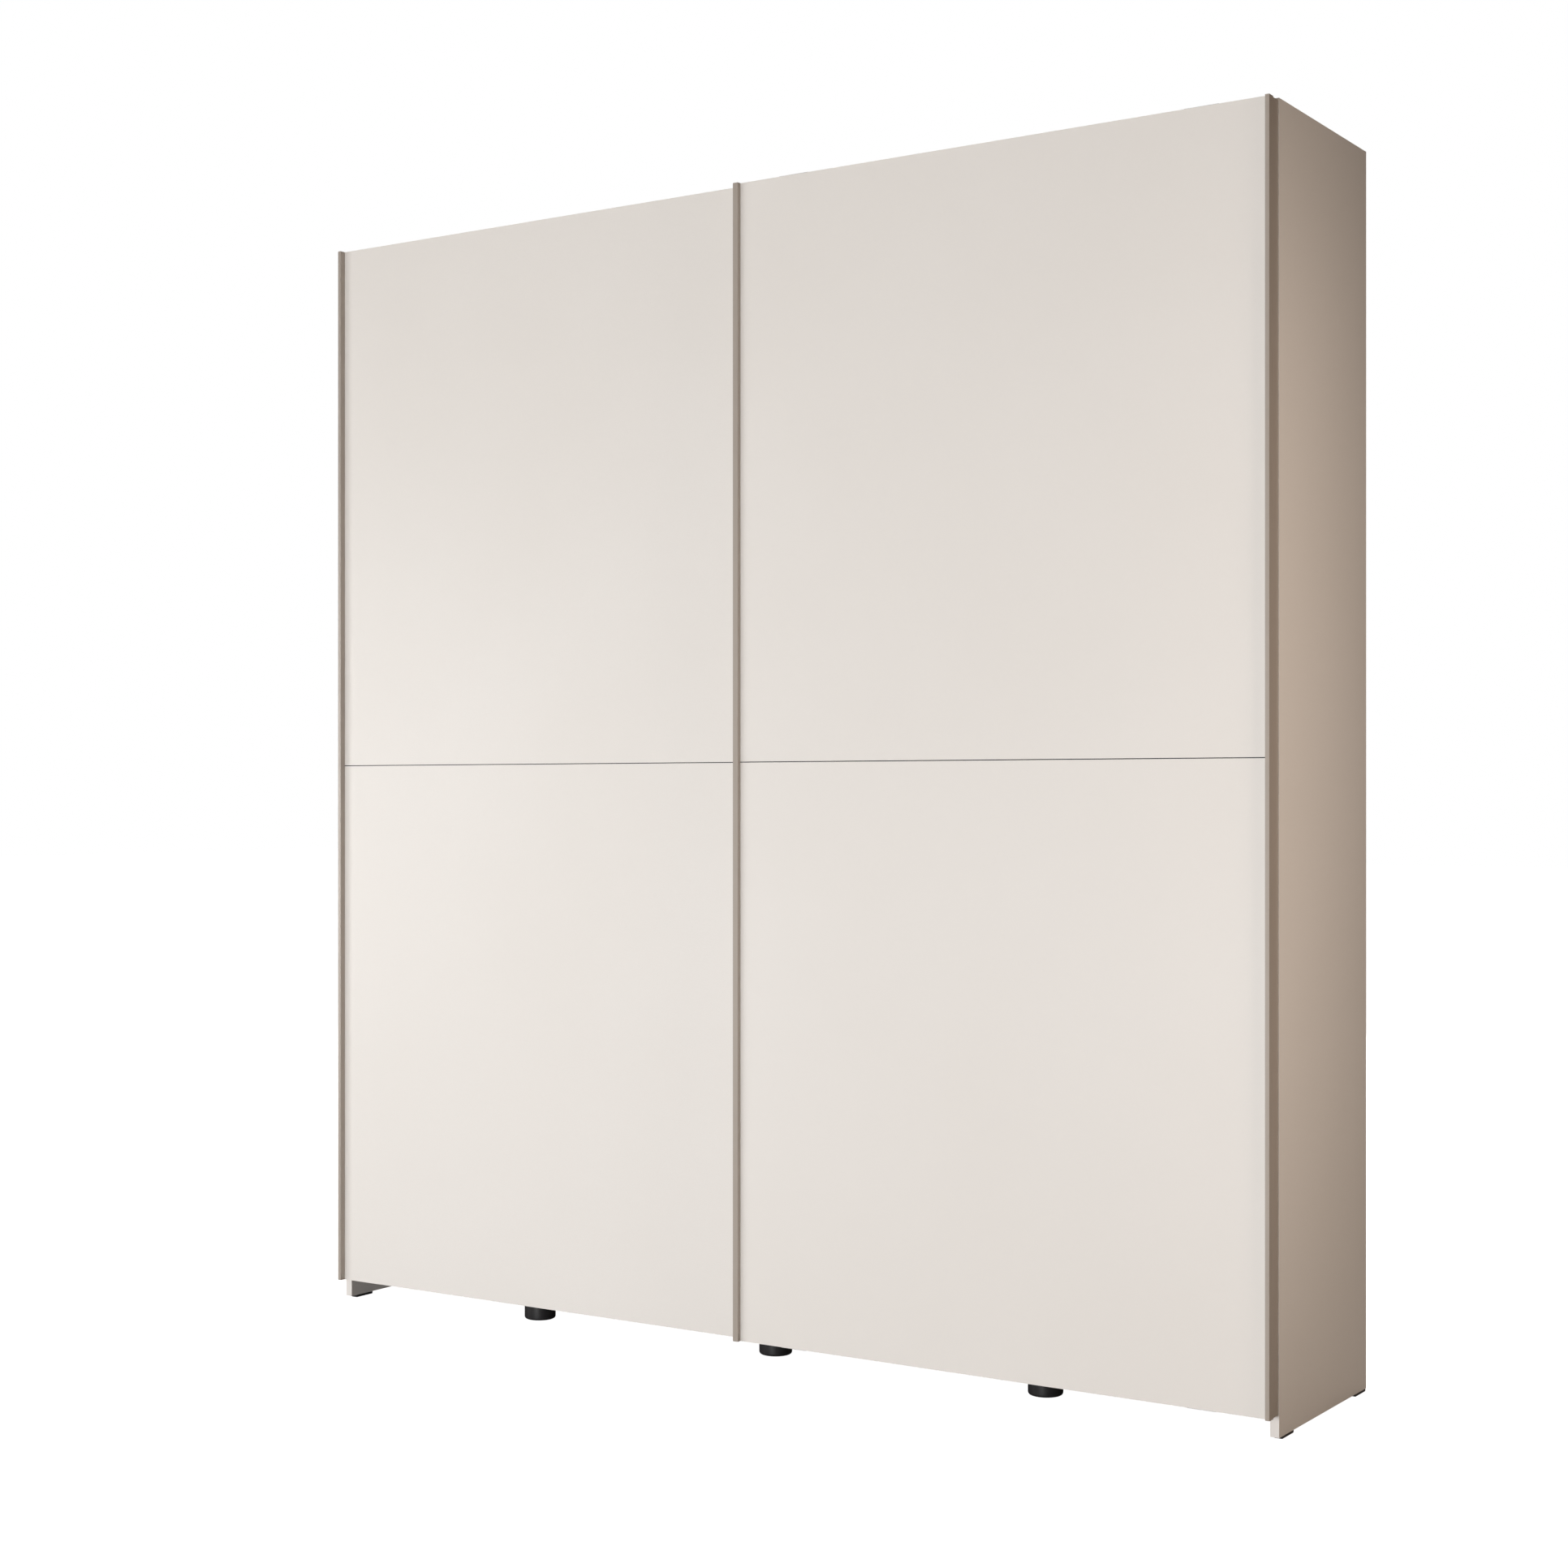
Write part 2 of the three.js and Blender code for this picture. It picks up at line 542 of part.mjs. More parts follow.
function leftDoor() {
  const span = [-half, -half + doorWidth];
  const places = { left: span[0] + HANGER_INSET, right: span[1] - HANGER_INSET };
  const plateFront = rearLeaf + LEAF + SEAT;
  leafBoards('left_door', span, rearLeaf, []);
  edgeProfile('left_door_handle_profile', {
    edge: span[0], inward: 1, leafFront: rearLeaf, face: END_FACE, reach: REAR_REACH, lip: REAR_LIP });
  edgeProfile('left_door_edge_cap', {
    edge: span[1], inward: -1, leafFront: rearLeaf, face: CAP_FACE, reach: CAP_REACH, lip: REAR_LIP });
  for (const [end, x] of Object.entries(places)) {
    hanger(`left_door_hanger_${end}`, x, plateFront, doorTop - REAR_ARM_DROP, rearLane);
    roller(`left_door_roller_${end}`, x, rearLane);
    guideBracket(`left_door_guide_${end}`, x, plateFront, rearBracketZ, rearSlot);
  }
  const reach = ROLLER_RADIUS + STOP_GAP;
  trackStop('track_stop_rear_door_left', rearLane, places.left - reach - STOP_LENGTH);
  trackStop('track_stop_rear_door_right', rearLane, places.right + travel + reach);
}

function rightDoor() {
  const span = [half - doorWidth, half];
  const places = { left: span[0] + HANGER_INSET, right: span[1] - HANGER_INSET };
  const plateFront = frontLeaf + LEAF - SHEET;
  leafBoards('right_door', span, frontLeaf, flushPockets(Object.values(places)));
  edgeProfile('right_door_centre_profile', {
    edge: span[0], inward: 1, leafFront: frontLeaf, face: CENTRE_FACE, reach: FRONT_REACH, lip: FRONT_LIP });
  edgeProfile('right_door_handle_profile', {
    edge: span[1], inward: -1, leafFront: frontLeaf, face: END_FACE, reach: FRONT_REACH, lip: FRONT_LIP });
  for (const [end, x] of Object.entries(places)) {
    hanger(`right_door_hanger_${end}`, x, plateFront, doorTop + ARM_CLEAR, frontLane);
    roller(`right_door_roller_${end}`, x, frontLane);
    guideBracket(`right_door_guide_${end}`, x, plateFront, frontBracketZ, frontSlot);
  }
  const reach = ROLLER_RADIUS + STOP_GAP;
  trackStop('track_stop_front_door_left', frontLane, places.left - travel - reach - STOP_LENGTH);
  trackStop('track_stop_front_door_right', frontLane, places.right + reach);
}

carcass();
shelves();
hangingRod();
closingStrip();
topTrack();
floorGuide();
leftDoor();
rightDoor();

export default wardrobe;
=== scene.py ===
"""Looks of the sliding door wardrobe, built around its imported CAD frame.

Metres, +Z up, front towards -Y.
"""
import json
import math
import random

import bmesh
import bpy
from mathutils import Matrix, Vector


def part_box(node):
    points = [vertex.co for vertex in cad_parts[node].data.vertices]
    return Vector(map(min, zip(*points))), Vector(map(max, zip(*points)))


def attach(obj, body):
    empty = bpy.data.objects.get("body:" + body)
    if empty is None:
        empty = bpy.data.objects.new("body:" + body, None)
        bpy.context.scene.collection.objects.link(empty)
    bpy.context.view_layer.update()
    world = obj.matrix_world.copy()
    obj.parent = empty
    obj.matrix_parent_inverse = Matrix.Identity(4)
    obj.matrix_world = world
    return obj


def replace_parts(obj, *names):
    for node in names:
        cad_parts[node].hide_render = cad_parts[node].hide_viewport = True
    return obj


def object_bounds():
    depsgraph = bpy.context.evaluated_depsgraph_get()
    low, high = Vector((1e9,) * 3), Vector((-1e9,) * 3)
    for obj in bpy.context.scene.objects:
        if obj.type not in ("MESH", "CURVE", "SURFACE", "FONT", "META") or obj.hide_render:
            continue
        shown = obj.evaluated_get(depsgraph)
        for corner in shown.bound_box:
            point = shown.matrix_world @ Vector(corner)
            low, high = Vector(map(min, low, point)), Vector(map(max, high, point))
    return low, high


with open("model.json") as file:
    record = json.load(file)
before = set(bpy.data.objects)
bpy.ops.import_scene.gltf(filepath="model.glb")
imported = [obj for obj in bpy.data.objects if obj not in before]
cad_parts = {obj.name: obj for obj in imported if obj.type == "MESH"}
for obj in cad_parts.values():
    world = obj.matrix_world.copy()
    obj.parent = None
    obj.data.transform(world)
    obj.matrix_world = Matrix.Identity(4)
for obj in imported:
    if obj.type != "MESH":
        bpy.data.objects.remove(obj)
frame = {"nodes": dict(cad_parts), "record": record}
cad_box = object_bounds()

MM = 0.001

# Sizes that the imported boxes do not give
WALL = 1.4 * MM  # of the door edge profiles
SEAT = 0.2 * MM  # between a door leaf and what is clipped to it
END_FACE = 7 * MM  # width of the handle profiles at the ends of the wardrobe
CENTRE_FACE = 10.5 * MM  # width of the handle profile at its middle
SHEET = 1.5 * MM  # steel of the hangers and guide brackets
TRACK_BASE = 2 * MM
LANE_PITCH = 34 * MM
TRACK_MARGIN = 14 * MM  # edge of the top track to its nearest lane
GUIDE_PITCH = 16 * MM
GUIDE_MARGIN = 8 * MM  # edge of the floor guide to its nearest slot

# Small hardware
HARDWARE_SPIN = 0.6  # screws are turned by up to this many radians either way
TRACK_SCREWS = 9
GUIDE_SCREWS = 8
NAILS_IN_ROW = 8
SHELF_PIN_RADIUS = 2.5 * MM
HOLE_PITCH = 32 * MM
HOLES_EACH_WAY = 3  # shelf holes above and below each shelf's own
SHELVES = ("shelf_1", "shelf_2", "shelf_3")

SHARP_ANGLE = 32  # degrees; shading is smooth up to this

NODES = frame["nodes"]
BODIES = frame["record"]["behaviour"]["bodies"]
BODY_OF = {node: body for body, nodes in BODIES.items() for node in nodes}
HEIGHT = cad_box[1].z
random.seed(7)


# ---------------------------------------------------------------- camera, light and floor

def make_camera():
    """A level camera to the right of the wardrobe's front, turned to the left."""
    data = bpy.data.cameras.new("camera")
    data.lens = 56.186
    data.sensor_width = 36
    data.shift_y = 0.0065
    data.clip_end = 100
    camera = bpy.data.objects.new("camera", data)
    camera.location = (2.4628, -3.8091, 1.0163)
    camera.rotation_euler = (math.radians(90), 0, 0.58337)
    bpy.context.scene.collection.objects.link(camera)
    bpy.context.scene.camera = camera


def area_light(name, place, target, size, power, colour):
    """A soft light that the camera doesn't see. Metres and watts."""
    data = bpy.data.lights.new(name, "AREA")
    data.shape = "RECTANGLE"
    data.size, data.size_y = size
    data.energy = power
    data.color = colour
    light = bpy.data.objects.new(name, data)
    light.location = place
    light.rotation_euler = (Vector(target) - Vector(place)).to_track_quat("-Z", "Y").to_euler()
    light.visible_camera = False
    bpy.context.scene.collection.objects.link(light)
    return light


def make_world():
    """White behind the wardrobe; a dim, warm, even sky lights it."""
    world = bpy.data.worlds.new("studio")
    world.use_nodes = True
    tree = world.node_tree
    seen = tree.nodes["Background"]
    seen.inputs["Color"].default_value = (1, 1, 1, 1)
    seen.inputs["Strength"].default_value = 1.0
    lighting = tree.nodes.new("ShaderNodeBackground")
    lighting.inputs["Color"].default_value = (1.0, 0.80, 0.72, 1)
    lighting.inputs["Strength"].default_value = 0.05
    path = tree.nodes.new("ShaderNodeLightPath")
    mix = tree.nodes.new("ShaderNodeMixShader")
    tree.links.new(path.outputs["Is Camera Ray"], mix.inputs["Fac"])
    tree.links.new(lighting.outputs[0], mix.inputs[1])
    tree.links.new(seen.outputs[0], mix.inputs[2])
    tree.links.new(mix.outputs[0], tree.nodes["World Output"].inputs["Surface"])
    bpy.context.scene.world = world


def make_floor():
    """A floor that is plain white to the camera and throws little light back up."""
    mesh = bpy.data.meshes.new("floor")
    reach = 30
    mesh.from_pydata([(-reach, -reach, 0), (reach, -reach, 0), (reach, reach, 0), (-reach, reach, 0)],
                     [], [(0, 1, 2, 3)])
    floor = bpy.data.objects.new("floor", mesh)
    bpy.context.scene.collection.objects.link(floor)
    shade = Shade("studio_floor")
    shade.set(base=(0.62, 0.615, 0.61), roughness=0.8)
    shade.shader.inputs["Emission Color"].default_value = (1, 1, 1, 1)
    shade.shader.inputs["Emission Strength"].default_value = 1.0
    dull = shade.node("ShaderNodeBsdfDiffuse")
    dull.inputs["Color"].default_value = (0.40, 0.37, 0.34, 1)
    mix = shade.node("ShaderNodeMixShader")
    shade.link(shade.node("ShaderNodeLightPath").outputs["Is Camera Ray"], mix.inputs["Fac"])
    shade.link(dull.outputs[0], mix.inputs[1])
    shade.link(shade.shader.outputs[0], mix.inputs[2])
    shade.link(mix.outputs[0], shade.tree.nodes["Material Output"].inputs["Surface"])
    mesh.materials.append(shade.material)


def make_studio():
    make_world()
    make_floor()
    middle = (0, 0, HEIGHT / 2)
    area_light("key_light", (0.9, -6.4, 0.6), middle, (1.2, 1.2), 182, (0.98, 0.99, 1.0))
    area_light("left_light", (-5.4, -3.9, 0.85), middle, (2.2, 2.0), 92, (1.0, 1.0, 0.99))
    fill = area_light("fill_light", (-1.9, -4.2, 0.2), (-0.4, 0, 0.3), (2.2, 0.4), 51, (0.98, 0.99, 1.0))
    fill.visible_glossy = False  # a bright strip near the floor, which the sides would mirror
    area_light("top_light", (0, -1.5, 6.5), (0, -0.6, 0), (9, 7), 92, (1.0, 0.85, 0.68))
    area_light("roof_light", (0, 1.4, 5.5), (0, 0.1, HEIGHT), (2.4, 1.8), 45, (1.0, 0.98, 0.95))
    area_light("side_light", (1.75, -0.36, 1.1), (0.99, -0.12, 1.05), (0.35, 1.9), 6.1,
               (1.0, 0.85, 0.72))
    area_light("back_light", (-1.5, 5.5, 2.6), middle, (5, 4), 215, (1.0, 0.97, 0.93))
    settings = bpy.context.scene.view_settings
    settings.view_transform = "Standard"
    settings.look = "None"


# ---------------------------------------------------------------- materials

class Shade:
    """A Principled material and short calls for its procedural nodes, in object space."""

    def __init__(self, name):
        self.material = bpy.data.materials.new(name)
        self.material.use_nodes = True
        self.tree = self.material.node_tree
        self.shader = self.tree.nodes["Principled BSDF"]
        self.place = self.tree.nodes.new("ShaderNodeTexCoord").outputs["Object"]

    def set(self, base=None, roughness=None, metallic=None):
        if base is not None:
            self.shader.inputs["Base Color"].default_value = (*base, 1)
        if roughness is not None:
            self.shader.inputs["Roughness"].default_value = roughness
        if metallic is not None:
            self.shader.inputs["Metallic"].default_value = metallic

    def node(self, kind, **settings):
        made = self.tree.nodes.new(kind)
        for key, value in settings.items():
            setattr(made, key, value)
        return made

    def link(self, source, target):
        self.tree.links.new(source, target)

    def stretched(self, stretch):
        mapping = self.node("ShaderNodeMapping")
        mapping.inputs["Scale"].default_value = stretch
        self.link(self.place, mapping.inputs["Vector"])
        return mapping.outputs["Vector"]

    def noise(self, size, detail=3, stretch=(1, 1, 1), roughness=0.55):
        """Noise whose features are about size metres across, before the stretch."""
        made = self.node("ShaderNodeTexNoise")
        made.inputs["Scale"].default_value = 1 / size
        made.inputs["Detail"].default_value = detail
        made.inputs["Roughness"].default_value = roughness
        self.link(self.stretched(stretch), made.inputs["Vector"])
        return made.outputs["Fac"]

    def cell_tone(self, scale, stretch=(1, 1, 1)):
        """A random tone for each cell, with about scale cells to a metre before the stretch."""
        cells = self.node("ShaderNodeTexVoronoi", feature="F1")
        cells.inputs["Scale"].default_value = scale
        self.link(self.stretched(stretch), cells.inputs["Vector"])
        tone = self.node("ShaderNodeSeparateColor")
        self.link(cells.outputs["Color"], tone.inputs[0])
        return tone.outputs[0]

    def range(self, source, low, high, start=0.0, end=1.0):
        """source from low..high becomes start..end."""
        made = self.node("ShaderNodeMapRange")
        for key, value in (("From Min", low), ("From Max", high), ("To Min", start), ("To Max", end)):
            made.inputs[key].default_value = value
        self.link(source, made.inputs["Value"])
        return made.outputs["Result"]

    def blend(self, amount, a, b):
        """Colour a where amount is 0 and b where it is 1."""
        made = self.node("ShaderNodeMix", data_type="RGBA")
        self.link(amount, made.inputs["Factor"])
        for index, value in ((6, a), (7, b)):
            if isinstance(value, tuple):
                made.inputs[index].default_value = (*value, 1)
            else:
                self.link(value, made.inputs[index])
        return made.outputs[2]

    def colour(self, source):
        self.link(source, self.shader.inputs["Base Color"])

    def roughness(self, source):
        self.link(source, self.shader.inputs["Roughness"])

    def bumps(self, *layers):
        """Each layer is (height source, depth in metres)."""
        normal = None
        for height, depth in layers:
            made = self.node("ShaderNodeBump")
            made.inputs["Strength"].default_value = 1.0
            made.inputs["Distance"].default_value = depth
            self.link(height, made.inputs["Height"])
            if normal is not None:
                self.link(normal, made.inputs["Normal"])
            normal = made.outputs["Normal"]
        self.link(normal, self.shader.inputs["Normal"])

    def facing_back(self):
        """How far the surface faces +Y, from -1 to 1."""
        geometry = self.node("ShaderNodeNewGeometry")
        split = self.node("ShaderNodeSeparateXYZ")
        self.link(geometry.outputs["True Normal"], split.inputs[0])
        return split.outputs["Y"]


def melamine(name, light, dark, gloss=0.42):
    """Matt printed board: faint clouding, fine speckle and a soft pearl texture."""
    shade = Shade(name)
    cloud = shade.range(shade.noise(0.55, 2), 0.3, 0.7)
    speckle = shade.range(shade.noise(0.0011, 2), 0.35, 0.75, 0, 0.5)
    shade.colour(shade.blend(speckle, shade.blend(cloud, light, dark), tuple(c * 0.965 for c in dark)))
    shade.roughness(shade.range(shade.noise(0.004, 3), 0.3, 0.7, gloss - 0.05, gloss + 0.07))
    shade.bumps((shade.noise(0.0016, 3), 0.00004), (shade.noise(0.09, 1), 0.0002))
    return shade


def door_board():
    return melamine("cream_door_board", (0.84, 0.812, 0.78), (0.82, 0.789, 0.753)).material


def carcass_board():
    """The same board, with its raw chipboard core showing on the rear edges."""
    shade = melamine("cream_carcass_board", (0.835, 0.80, 0.77), (0.812, 0.775, 0.74), 0.46)
    film = shade.shader.inputs["Base Color"].links[0].from_socket
    chips = shade.cell_tone(420, (1, 1, 0.45))
    core = shade.blend(chips, (0.52, 0.36, 0.20), (0.30, 0.19, 0.10))
    raw = shade.range(shade.facing_back(), 0.9, 0.95)
    shade.colour(shade.blend(raw, film, core))
    return shade.material


def back_board():
    """Thin hardboard, white inside and brown fibre outside."""
    shade = Shade("hardboard")
    fibre = shade.noise(0.006, 4, (1, 1, 0.35), 0.7)
    brown = shade.blend(shade.range(fibre, 0.3, 0.7), (0.36, 0.22, 0.12), (0.25, 0.145, 0.075))
    cloud = shade.range(shade.noise(0.3, 2), 0.3, 0.7)
    white = shade.blend(cloud, (0.80, 0.765, 0.71), (0.77, 0.73, 0.67))
    shade.colour(shade.blend(shade.range(shade.facing_back(), 0.2, 0.6), white, brown))
    shade.set(roughness=0.62)
    shade.bumps((fibre, 0.00012), (shade.noise(0.0009, 2), 0.00005))
    return shade.material


def anodised(name, base, gloss, metallic):
    """Satin anodised extrusion, with fine die lines along its length."""
    shade = Shade(name)
    lines = shade.noise(0.0007, 2, (1, 1, 0.004))
    cloud = shade.range(shade.noise(0.25, 2, (1, 1, 0.5)), 0.3, 0.7)
    shade.colour(shade.blend(cloud, base, tuple(c * 0.94 for c in base)))
    shade.roughness(shade.range(lines, 0.3, 0.7, gloss - 0.05, gloss + 0.09))
    shade.set(metallic=metallic)
    shade.bumps((lines, 0.00003), (shade.noise(0.0006, 2), 0.00001))
    return shade.material


def track_metal():
    shade = Shade("natural_aluminium")
    lines = shade.noise(0.0008, 2, (0.004, 1, 1))
    shade.colour(shade.blend(shade.range(lines, 0.3, 0.7), (0.60, 0.61, 0.62), (0.50, 0.51, 0.525)))
    shade.roughness(shade.range(lines, 0.3, 0.7, 0.28, 0.42))
    shade.set(metallic=0.95)
    shade.bumps((lines, 0.00004))
    return shade.material


def zinc_steel():
    """Bright zinc plate: faint crystals and rolling scratches."""
    shade = Shade("zinc_plated_steel")
    crystals = shade.cell_tone(250)
    scratch = shade.noise(0.0005, 2, (0.06, 1, 1))
    shade.colour(shade.blend(crystals, (0.58, 0.59, 0.60), (0.50, 0.52, 0.55)))
    shade.roughness(shade.range(scratch, 0.3, 0.7, 0.38, 0.52))
    shade.set(metallic=0.95)
    shade.bumps((scratch, 0.00003))
    return shade.material


def chrome():
    shade = Shade("chrome")
    wipe = shade.noise(0.0006, 2, (1, 0.03, 1))
    shade.colour(shade.blend(shade.range(wipe, 0.3, 0.7), (0.78, 0.79, 0.80), (0.72, 0.73, 0.75)))
    shade.roughness(shade.range(wipe, 0.3, 0.7, 0.06, 0.14))
    shade.set(metallic=1.0)
    shade.bumps((wipe, 0.00001))
    return shade.material


def plastic(name, light, dark, gloss):
    """Moulded plastic with a spark-eroded grain."""
    shade = Shade(name)
    cloud = shade.range(shade.noise(0.03, 3), 0.3, 0.7)
    shade.colour(shade.blend(cloud, light, dark))
    texture = shade.noise(0.0007, 3)
    shade.roughness(shade.range(texture, 0.3, 0.7, gloss - 0.06, gloss + 0.08))
    shade.bumps((texture, 0.00005))
    return shade.material


MATERIALS = {
    "door_board": door_board(),
    "carcass_board": carcass_board(),
    "back_board": back_board(),
    "profile_champagne": anodised("champagne_profile", (0.43, 0.38, 0.335), 0.32, 0.06),
    "track_aluminium": track_metal(),
    "steel": zinc_steel(),
    "chrome": chrome(),
    "black_plastic": plastic("black_plastic", (0.016, 0.0155, 0.0165), (0.024, 0.023, 0.024), 0.42),
    "nylon": plastic("white_nylon", (0.80, 0.80, 0.77), (0.74, 0.74, 0.70), 0.4),
    "grey_plastic": plastic("grey_plastic", (0.23, 0.235, 0.24), (0.19, 0.195, 0.20), 0.5),
}


# ---------------------------------------------------------------- mesh helpers

def piece(name, mesh, body, slot):
    """A finished object in the shared frame, riding on a body, with its slot's material."""
    made = bpy.data.objects.new(name, mesh)
    bpy.context.scene.collection.objects.link(made)
    mesh.materials.append(MATERIALS[slot])
    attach(made, body)
    return made


def revolve(profile, segments, outline=None):
    """A mesh turned about Z from (radius, height) points.

    outline(radius, height, angle), where given, sets the radius at each angle.
    """
    made = bmesh.new()
    rings = []
    for radius, height in profile:
        ring = []
        for step in range(segments if radius else 1):
            angle = 2 * math.pi * step / segments
            r = outline(radius, height, angle) if outline and radius else radius
            ring.append(made.verts.new((r * math.cos(angle), r * math.sin(angle), height)))
        rings.append(ring)
    for low, high in zip(rings, rings[1:]):
        for step in range(segments):
            after = (step + 1) % segments
            corners = [low[step % len(low)], low[after % len(low)],
                       high[after % len(high)], high[step % len(high)]]
            made.faces.new(list(dict.fromkeys(corners)))
    return made


def prism(points, low, high):
    """A closed mesh with an (x, y) outline, from height low to height high."""
    made = bmesh.new()
    floor = [made.verts.new((x, y, low)) for x, y in points]
    roof = [made.verts.new((x, y, high)) for x, y in points]
    made.faces.new(floor[::-1])
    made.faces.new(roof)
    for step, corner in enumerate(floor):
        after = (step + 1) % len(floor)
        made.faces.new([corner, floor[after], roof[after], roof[step]])
    return made


def arc(centre, radius, start, end, steps):
    """Points on an arc, angles in degrees."""
    angles = [math.radians(start + (end - start) * step / steps) for step in range(steps + 1)]
    return [(centre[0] + radius * math.cos(a), centre[1] + radius * math.sin(a)) for a in angles]


def mesh_of(name, made):
    """A mesh from a bmesh, with smooth shading up to the sharp angle."""
    mesh = bpy.data.meshes.new(name)
    bmesh.ops.recalc_face_normals(made, faces=made.faces)
    for face in made.faces:
        face.smooth = True
    made.to_mesh(mesh)
    made.free()
    mesh.set_sharp_from_angle(angle=math.radians(SHARP_ANGLE))
    return mesh


def close_seam(mesh):
    """Joins the first and last ring of a closed revolved section."""
    made = bmesh.new()
    made.from_mesh(mesh)
    bmesh.ops.remove_doubles(made, verts=made.verts, dist=1e-7)
    bmesh.ops.recalc_face_normals(made, faces=made.faces)
    made.to_mesh(mesh)
    made.free()


def towards(direction):
    """The turn that takes +Z to a direction."""
    return Vector((0, 0, 1)).rotation_difference(Vector(direction)).to_matrix().to_4x4()


def placed(name, pattern, places, direction, body, slot, spin=0.0):
    """Copies of one small mesh, joined as one piece. Each copy's +Z points along direction."""
    whole = bmesh.new()
    for place in places:
        copy = pattern.copy()
        turn = Matrix.Rotation(random.uniform(-spin, spin), 4, "Z")
        copy.transform(Matrix.Translation(place) @ towards(direction) @ turn)
        whole.from_mesh(copy)
        bpy.data.meshes.remove(copy)
    mesh = bpy.data.meshes.new(name)
    whole.to_mesh(mesh)
    whole.free()
    mesh.set_sharp_from_angle(angle=math.radians(SHARP_ANGLE))
    return piece(name, mesh, body, slot)


def round_edges(made, width, angle=35):
    """Rounds the edges that are sharper than an angle in degrees."""
    bevel = made.modifiers.new("edges", "BEVEL")
    bevel.width = width
    bevel.segments = 2
    bevel.limit_method = "ANGLE"
    bevel.angle_limit = math.radians(angle)
    bevel.use_clamp_overlap = True


def spread(low, high, count):
    """Evenly spaced places, with one at each end."""
    return [low + (high - low) * step / (count - 1) for step in range(count)]


# ---------------------------------------------------------------- CAD nodes

def dress_cad_nodes():
    """Gives every CAD node its slot's material and the small edge radius that its real piece has."""
    radius = {"door_board": 0.5 * MM, "carcass_board": 0.5 * MM, "back_board": 0.2 * MM,
              "profile_champagne": 0.45 * MM, "track_aluminium": 0.25 * MM, "steel": 0.45 * MM,
              "chrome": 0.15 * MM, "black_plastic": 0.4 * MM, "nylon": 0.3 * MM,
              "grey_plastic": 0.3 * MM}
    for part in frame["record"]["subparts"]:
        node, slot = NODES[part["node"]], part["material_slot"]
        node.data.materials.clear()
        node.data.materials.append(MATERIALS[slot])
        round_edges(node, radius[slot])


# ---------------------------------------------------------------- small hardware patterns

def cross(radius, angle):
    """The outline of a cross recess, as a radius at each angle."""
    arm = 0.3 * radius
    c, s = max(abs(math.cos(angle)), 1e-6), max(abs(math.sin(angle)), 1e-6)
    return max(min(radius / c, arm / s), min(radius / s, arm / c))


def screw_head(radius, height):
    """A domed head with a cross recess, seated at height 0."""
    rim = 0.3 * height
    dome = [(radius * math.cos(a), rim + (height - rim) * math.sin(a)) for a in
            (math.radians(18 * step) for step in range(4))]
    mouth = 0.46 * radius
    profile = [(0, -0.2 * height), (radius, -0.2 * height), *dome, (mouth, height),
               (0.86 * mouth, 0.2 * height), (0, 0.12 * height)]

    def outline(r, h, angle):
        return cross(r, angle) if r <= mouth else r

    return mesh_of("screw_head", revolve(profile, 32, outline))


def nail_head(radius):
    """A flat, slightly crowned head, seated at height 0."""
    profile = [(0, -0.1 * MM), (radius, -0.1 * MM), (radius, 0.25 * MM), (0.8 * radius, 0.45 * MM),
               (0, 0.55 * MM)]
    return mesh_of("nail_head", revolve(profile, 12))


# ---------------------------------------------------------------- feet

def make_feet():
    """Round plastic feet: a plain filleted base, a ribbed adjusting ring, a neck and a flange."""
    ring_low, ring_high = 30 * MM, 41 * MM

    def ribs(radius, height, angle):
        on_ring = ring_low <= height <= ring_high
        return radius + (0.45 * MM * math.cos(36 * angle) if on_ring else 0)

    for name in (node for node in NODES if node.startswith("foot_")):
        low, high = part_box(name)
        radius = (high.x - low.x) / 2
        top = high.z
        fillet = 5 * MM
        profile = [(0, 0.8 * MM), (radius - 9 * MM, 0.8 * MM), (radius - 10 * MM + fillet, 0)]
        profile += arc((radius - fillet, fillet), fillet, -80, 0, 7)
        profile += [(radius, 26 * MM), (radius - 0.8 * MM, 27 * MM), (radius - 0.8 * MM, 28.6 * MM),
                    (radius - 0.6 * MM, 29.4 * MM), (radius - 0.5 * MM, ring_low),
                    (radius - 0.5 * MM, ring_high), (radius - 2 * MM, ring_high + 0.8 * MM),
                    (radius - 8 * MM, ring_high + 1 * MM), (radius - 8 * MM, top - 4.6 * MM),
                    (radius - 6 * MM, top - 3.2 * MM), (radius - 0.6 * MM, top - 3.2 * MM),
                    (radius, top - 2.6 * MM), (radius, top - 0.4 * MM), (radius - 0.4 * MM, top), (0, top)]
        mesh = mesh_of(name + "_body", revolve(profile, 144, ribs))
        mesh.transform(Matrix.Translation(((low.x + high.x) / 2, (low.y + high.y) / 2, 0)))
        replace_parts(piece(name + "_body", mesh, "carcass", "black_plastic"), name)


# ---------------------------------------------------------------- doors

def plug(name, x_span, y_span, end, sign, body):
    """A moulded plug in the open end of a hollow profile, its face just below the end."""
    inset, depth, recess, corner = 0.15 * MM, 9 * MM, 0.4 * MM, 0.6 * MM
    x0, x1 = x_span[0] + inset + corner, x_span[1] - inset - corner
    y0, y1 = y_span[0] + inset + corner, y_span[1] - inset - corner
    points = [point for centre, start in (((x1, y1), 0), ((x0, y1), 90), ((x0, y0), 180), ((x1, y0), 270))
              for point in arc(centre, corner, start, start + 90, 3)]
    face = end - sign * recess
    low, high = sorted((face, face - sign * depth))
    made = piece(name, mesh_of(name, prism(points, low, high)), body, "grey_plastic")
    round_edges(made, 0.25 * MM, 50)


